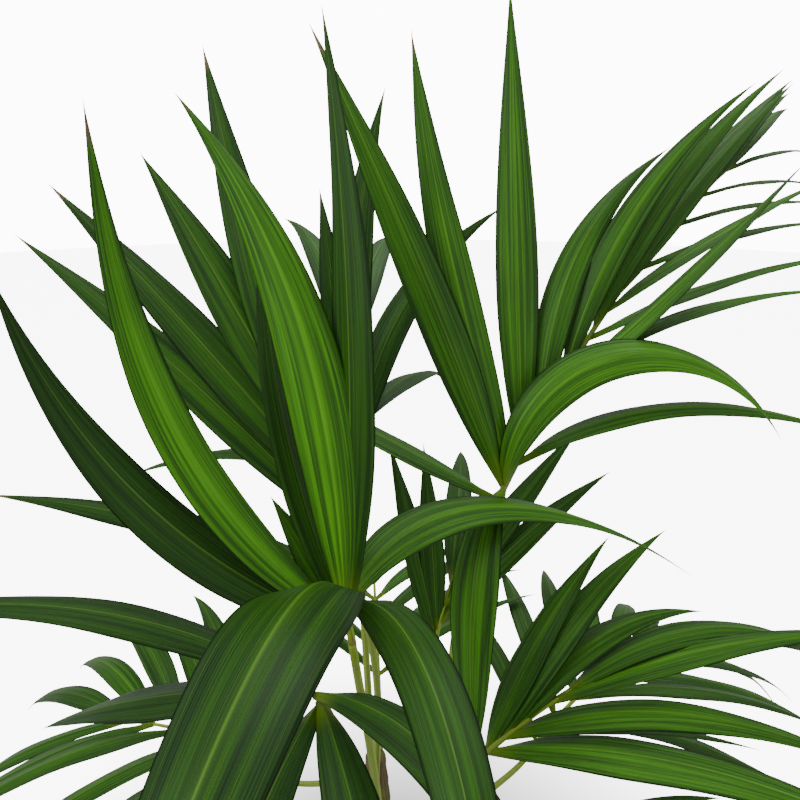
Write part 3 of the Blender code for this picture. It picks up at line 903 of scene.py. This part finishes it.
class KENTIA_OT_stalks(bpy.types.Operator):
    """Make the channelled leaf stalks from the stems out to the fronds"""

    bl_idname = "kentia.stalks"
    bl_label = "Leaf stalks"

    def execute(self, context):
        green = get_material("stalk_skin", stalk_material, context.scene.kentia)
        fronds = [frond for frond, _, _ in all_fronds()]
        places = seats(fronds)
        for frond in fronds:
            seat = places[frond.name]
            end_way = direction(frond.heading, frond.rise)
            end = Vector(frond.foot) - end_way * GAP
            reach = (end - seat).length
            first = seat + Vector((0, 0, reach * STALK_STRAIGHT_UP))
            second = end - end_way * reach * STALK_STRAIGHT_IN
            points, radii = [], []
            for step in range(STALK_FINE_STEPS + 1):
                t = step / STALK_FINE_STEPS
                s = 1 - t
                points.append(
                    seat * s**3 + first * 3 * s * s * t + second * 3 * s * t * t + end * t**3
                )
                radii.append(STALK_FOOT_RADIUS + (STALK_TIP_RADIUS - STALK_FOOT_RADIUS) * t)

            def channel(u, v):
                inside = max(math.cos(2 * math.pi * u), 0)
                return -STALK_CHANNEL * inside**STALK_CHANNEL_SHARPNESS

            new_piece(
                f"petiole_{frond.name}",
                lambda bm: lay_tube(bm, points, radii, STALK_FINE_SIDES, channel),
                (green,), f"stalk_{frond.name}",
            )
        return {"FINISHED"}


STEM_FINE_STEPS = 90
STEM_FINE_SIDES = 64
STEM_IN_SOIL = 0.004
# The neck of sheaths above a stem's top, and the share of the stem's height in which it narrows
STEM_NECK = 0.055
STEM_NECK_RADIUS = 0.0120
STEM_NECK_NARROWS = 0.4
# The old sheaths' bands: how many, how far each stands out, and how far they tilt
SHEATH_BANDS = 7
SHEATH_STEP = 0.0011
SHEATH_TILT = 0.35
# The lumps on them: how high, how close round and along a stem, and how far one stem's are shifted
SHEATH_LUMPS = 0.0007
LUMPS_ROUND = 15.3
LUMPS_ALONG = 6.8
LUMPS_SHIFT = 11.9


class KENTIA_OT_stems(bpy.types.Operator):
    """Make the short stems wrapped in old fibrous sheaths"""

    bl_idname = "kentia.stems"
    bl_label = "Stems"

    def execute(self, context):
        fibre = get_material("sheath_fibre", sheath_material, context.scene.kentia)
        for number, spec in enumerate(STEMS, 1):
            foot = Vector((spec.x, spec.y, SOIL_TOP - STEM_IN_SOIL))
            top = stem_top(spec)
            neck = top + (top - foot).normalized() * STEM_NECK
            whole = (neck - foot).length
            points, radii = [], []
            for step in range(STEM_FINE_STEPS + 1):
                share = step / STEM_FINE_STEPS
                points.append(foot.lerp(neck, share))
                on_stem = share * whole / (top - foot).length
                radii.append(stem_radius(on_stem))

            def relief(u, v):
                angle = 2 * math.pi * u
                band = (v * SHEATH_BANDS + SHEATH_TILT * math.sin(angle + number)) % 1
                x, y = math.cos(angle) * LUMPS_ROUND, math.sin(angle) * LUMPS_ROUND
                spot = Vector((x, y, v * LUMPS_ALONG + number * LUMPS_SHIFT))
                return SHEATH_STEP * (0.5 - band) + SHEATH_LUMPS * noise.noise(spot)

            new_piece(
                f"sheath_{number}", lambda bm: lay_tube(bm, points, radii, STEM_FINE_SIDES, relief),
                (fibre,), f"stem_{number}",
            )
        return {"FINISHED"}


def stem_radius(share):
    """A stem's radius at a share of its height, and in the neck of sheaths above it."""
    if share >= 1:
        narrowed = min((share - 1) / STEM_NECK_NARROWS, 1)
        return STEM_TOP_RADIUS + (STEM_NECK_RADIUS - STEM_TOP_RADIUS) * narrowed
    for (low, small), (high, large) in zip(STEM_SWELL, STEM_SWELL[1:]):
        if share <= high:
            return STEM_TOP_RADIUS * (small + (large - small) * (share - low) / (high - low))
    return STEM_TOP_RADIUS


POT_FINE_SIDES = 128
POT_ROUNDING = 0.0022
# An edge sharper than the first angle is rounded, and one sharper than the second shades sharp
POT_SHARP = math.radians(20)
POT_CREASE = math.radians(50)
MERGE_POT = 0.00005


class KENTIA_OT_pot(bpy.types.Operator):
    """Turn the plain stoneware pot with its rounded rim"""

    bl_idname = "kentia.pot"
    bl_label = "Pot"

    def execute(self, context):
        clay = get_material("stoneware", pot_material, context.scene.kentia)
        rim_foot = POT_HEIGHT - POT_RIM_HEIGHT
        profile = (
            (0, 0),
            (POT_FOOT_RADIUS, 0),
            (pot_radius(rim_foot), rim_foot),
            (POT_TOP_RADIUS, rim_foot + POT_EDGE),
            (POT_TOP_RADIUS, POT_HEIGHT),
            (pot_radius(POT_HEIGHT) - POT_WALL, POT_HEIGHT),
            (pot_radius(POT_FLOOR) - POT_WALL, POT_FLOOR),
            (0, POT_FLOOR),
        )

        def build(bm):
            verts = [bm.verts.new((radius, 0, height)) for radius, height in profile]
            edges = [bm.edges.new(pair) for pair in zip(verts, verts[1:])]
            bmesh.ops.spin(
                bm, geom=verts + edges, cent=(0, 0, 0), axis=(0, 0, 1), angle=2 * math.pi,
                steps=POT_FINE_SIDES, use_merge=True,
            )
            bmesh.ops.remove_doubles(bm, verts=bm.verts, dist=MERGE_POT)
            bmesh.ops.recalc_face_normals(bm, faces=bm.faces)
            sharp = [edge for edge in bm.edges if edge.calc_face_angle(0) > POT_SHARP]
            bmesh.ops.bevel(
                bm, geom=sharp, offset=POT_ROUNDING, segments=4, profile=0.5, affect="EDGES",
                material=-1, clamp_overlap=True,
            )
            for face in bm.faces:
                face.smooth = True

        piece = new_piece("pot_wall", build, (clay,), "pot")
        piece.data.set_sharp_from_angle(angle=POT_CREASE)
        return {"FINISHED"}


# The soil's lumps: how high, how close, at which slice of the noise, and how far they sink
SOIL_RELIEF = 0.0035
SOIL_LUMPS = 60
SOIL_SLICE = 0.3
SOIL_SINK = 0.3
SOIL_RINGS = 60
SOIL_SIDES = 120
MERGE_SOIL = 1e-5
# The shares of the soil's sheet that make its top, and its top and side
SOIL_TOP_SHARE = 0.7
SOIL_WALL_SHARE = 0.85
# The loose grains: their number, the draw's seed, their sizes and proportions, how far they stand
# out of the soil, and the bare ring along the pot's wall
GRAINS = 700
GRAIN_SEED = 5
GRAIN_SIZES = (0.0010, 0.0032)
GRAIN_WIDTHS = (0.5, 1)
GRAIN_HEIGHTS = (0.4, 0.8)
GRAIN_LIFT = 0.2
GRAIN_FREE_EDGE = 0.005


def soil_height(x, y):
    """The soil's lumpy top."""
    lump = noise.noise(Vector((x, y, SOIL_SLICE)) * SOIL_LUMPS)
    return SOIL_TOP + SOIL_RELIEF * (lump - SOIL_SINK)


class KENTIA_OT_soil(bpy.types.Operator):
    """Fill the pot with lumpy peat and strew loose grains on it"""

    bl_idname = "kentia.soil"
    bl_label = "Soil"

    def execute(self, context):
        peat = get_material("soil_peat", soil_material, context.scene.kentia)
        edge = pot_radius(SOIL_TOP) - POT_WALL - GAP
        low = SOIL_LOW.z
        low_edge = pot_radius(low) - POT_WALL - GAP

        def place(u, v):
            angle = 2 * math.pi * u
            if v <= SOIL_TOP_SHARE:
                radius = edge * v / SOIL_TOP_SHARE
                x, y = radius * math.cos(angle), radius * math.sin(angle)
                return Vector((x, y, soil_height(x, y)))
            if v <= SOIL_WALL_SHARE:
                down = (v - SOIL_TOP_SHARE) / (SOIL_WALL_SHARE - SOIL_TOP_SHARE)
                radius, height = edge + (low_edge - edge) * down, SOIL_TOP + (low - SOIL_TOP) * down
            else:
                radius, height = low_edge * (1 - v) / (1 - SOIL_WALL_SHARE), low
            return Vector((radius * math.cos(angle), radius * math.sin(angle), height))

        def build(bm):
            made, _ = lay_sheet(bm, SOIL_SIDES, SOIL_RINGS, place)
            bmesh.ops.remove_doubles(bm, verts=made, dist=MERGE_SOIL)

        def strew(bm):
            draw = random.Random(GRAIN_SEED)
            for _ in range(GRAINS):
                angle = draw.uniform(0, 2 * math.pi)
                radius = (edge - GRAIN_FREE_EDGE) * math.sqrt(draw.random())
                x, y = radius * math.cos(angle), radius * math.sin(angle)
                size = draw.uniform(*GRAIN_SIZES)
                wide, high = draw.uniform(*GRAIN_WIDTHS), draw.uniform(*GRAIN_HEIGHTS)
                flat = Matrix.Diagonal((1, wide, high, 1))
                spin = Matrix.Rotation(draw.uniform(0, math.pi), 4, "Z")
                spot = Matrix.Translation((x, y, soil_height(x, y) + size * GRAIN_LIFT))
                place_grain = spot @ spin @ flat
                bmesh.ops.create_icosphere(bm, subdivisions=1, radius=size, matrix=place_grain)

        new_piece("soil_top", build, (peat,), "soil")
        new_piece("soil_grains", strew, (peat,), "soil")
        return {"FINISHED"}


# The photograph's own view: where the camera stands, how far it looks down, and its lens
CAMERA_PLACE = (0, -0.56, 1.08)
CAMERA_PITCH = math.radians(20)
CAMERA_LENS = 30
CAMERA_NEAR = 0.01
# Each light's name, place, size and power
AREA_LIGHTS = (
    ("key_light", (-1.8, -1.0, 3.0), 2.0, 58),
    ("fill_light", (2.4, -1.0, 2.0), 2.2, 16),
    ("top_light", (0.4, 1.4, 3.4), 2.4, 40),
)
LIGHT_AIM = (0, 0, 0.8)
# The glow of floor and surroundings as the camera sees it, and what the surroundings give as light
FLOOR_GLOW = 8.0
ROOM_GLOW = 12.0
ROOM_LIGHT = 0.42
# Squared distances from the pot's axis between which the floor's glow rises from nothing to full
FLOOR_SHADE = (0.0, 0.55)
FLOOR_WHITE = (0.92, 0.92, 0.92, 1)
FLOOR_ROUGH = 0.9
FLOOR_GLOSS = 0.1
FLOOR_SIDES = 96


def floor_material():
    """Matt white that glows for the camera alone, and not round the pot, where its shadow lies."""
    nodes = Nodes("floor_white")
    nodes.finish(FLOOR_WHITE, FLOOR_ROUGH)
    nodes.shader.inputs["Specular IOR Level"].default_value = FLOOR_GLOSS
    nodes.shader.inputs["Emission Color"].default_value = (1, 1, 1, 1)
    seen = nodes.tree.nodes.new("ShaderNodeLightPath").outputs["Is Camera Ray"]
    x, y, _ = nodes.split(nodes.place())
    squared = nodes.plus(nodes.times(x, x), nodes.times(y, y))
    clear = nodes.times(nodes.ramp(squared, *FLOOR_SHADE), FLOOR_GLOW)
    nodes.put(nodes.shader.inputs["Emission Strength"], nodes.times(seen, clear))
    return nodes.material


def white_room():
    """Surroundings that the camera sees as white, and that light the plant less."""
    world = bpy.data.worlds.new("white_room")
    world.use_nodes = True
    tree = world.node_tree
    sky = tree.nodes["Background"]
    sky.inputs["Color"].default_value = (1, 1, 1, 1)
    path = tree.nodes.new("ShaderNodeLightPath")
    bright = tree.nodes.new("ShaderNodeMapRange")
    tree.links.new(path.outputs["Is Camera Ray"], bright.inputs[0])
    bright.inputs[3].default_value = ROOM_LIGHT
    bright.inputs[4].default_value = ROOM_GLOW
    tree.links.new(bright.outputs[0], sky.inputs["Strength"])
    return world


class KENTIA_OT_stage(bpy.types.Operator):
    """Set the pale floor, the soft studio lights, the white surroundings and the camera"""

    bl_idname = "kentia.stage"
    bl_label = "Stage"

    def execute(self, context):
        scene = context.scene
        bm = bmesh.new()
        radius = scene.kentia.floor_radius
        bmesh.ops.create_circle(bm, cap_ends=True, segments=FLOOR_SIDES, radius=radius)
        mesh = bpy.data.meshes.new("floor")
        bm.to_mesh(mesh)
        bm.free()
        mesh.materials.append(floor_material())
        floor = bpy.data.objects.new("floor", mesh)
        scene.collection.objects.link(floor)
        scene.world = white_room()
        aim = Vector(LIGHT_AIM)
        for name, place, size, power in AREA_LIGHTS:
            light = bpy.data.lights.new(name, "AREA")
            light.size = size
            light.energy = power
            lamp = bpy.data.objects.new(name, light)
            lamp.location = place
            lamp.rotation_euler = (aim - lamp.location).to_track_quat("-Z", "Y").to_euler()
            scene.collection.objects.link(lamp)
        lens = bpy.data.cameras.new("camera")
        lens.lens = CAMERA_LENS
        lens.clip_start = CAMERA_NEAR
        camera = bpy.data.objects.new("camera", lens)
        camera.location = CAMERA_PLACE
        camera.rotation_euler = (math.pi / 2 - CAMERA_PITCH, 0, 0)
        scene.collection.objects.link(camera)
        scene.camera = camera
        return {"FINISHED"}


OPERATORS = (
    KENTIA_OT_pot,
    KENTIA_OT_soil,
    KENTIA_OT_stems,
    KENTIA_OT_stalks,
    KENTIA_OT_ribs,
    KENTIA_OT_fronds,
    KENTIA_OT_stage,
)


class KENTIA_PT_panel(bpy.types.Panel):
    """Lists the palm's settings and its steps"""

    bl_label = "Kentia Palm"
    bl_idname = "KENTIA_PT_panel"
    bl_space_type = "VIEW_3D"
    bl_region_type = "UI"
    bl_category = "Kentia"

    def draw(self, context):
        for name in KentiaSettings.__annotations__:
            self.layout.prop(context.scene.kentia, name)
        for operator in OPERATORS:
            self.layout.operator(operator.bl_idname)


def register():
    for item in (KentiaSettings, *OPERATORS, KENTIA_PT_panel):
        bpy.utils.register_class(item)
    bpy.types.Scene.kentia = bpy.props.PointerProperty(type=KentiaSettings)


def unregister():
    del bpy.types.Scene.kentia
    for item in reversed((KentiaSettings, *OPERATORS, KENTIA_PT_panel)):
        bpy.utils.unregister_class(item)


def main():
    register()
    bpy.ops.kentia.pot()
    bpy.ops.kentia.soil()
    bpy.ops.kentia.stems()
    bpy.ops.kentia.stalks()
    bpy.ops.kentia.ribs()
    bpy.ops.kentia.fronds()
    bpy.ops.kentia.stage()


if __name__ == "__main__":
    main()
